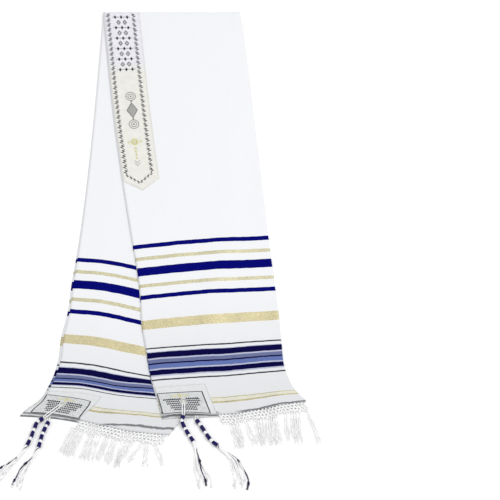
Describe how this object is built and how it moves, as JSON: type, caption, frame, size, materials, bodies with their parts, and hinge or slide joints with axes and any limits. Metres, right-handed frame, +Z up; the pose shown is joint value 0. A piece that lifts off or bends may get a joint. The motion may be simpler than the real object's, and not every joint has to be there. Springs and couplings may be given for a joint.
{
  "type": "tallit prayer shawl",
  "caption": "Striped fringed prayer shawl folded lengthwise and over at its middle, lying flat, with a pointed neckband, corner patches and wound corner tassels.",
  "frame": {"origin": "under the middle of the whole shawl with its fringe and tassels, on the surface that it lies on", "axes": "+Z up from the surface, +Y from the fringed ends towards the fold, +X to the right"},
  "size_m": [0.667, 1.0768, 0.0161],
  "materials": {
    "striped_cloth": "plain white weave with blue, grey and gold stripes",
    "neckband_cloth": "cream satin weave with a dark border",
    "patch_cloth": "pale satin weave with a dark border",
    "fringe_yarn": "white twisted yarn",
    "wound_cord": "white and blue twisted cords, wound with blue"
  },
  "bodies": {
    "root": {"shawl_cloth": "striped_cloth", "neckband": "neckband_cloth", "corner_patch_front": "patch_cloth", "corner_patch_back": "patch_cloth", "fringe_front": "fringe_yarn", "fringe_back": "fringe_yarn", "tzitzit_front_upper": "wound_cord", "tzitzit_front_under": "wound_cord", "tzitzit_back_upper": "wound_cord", "tzitzit_back_under": "wound_cord"}
  },
  "joints": []
}
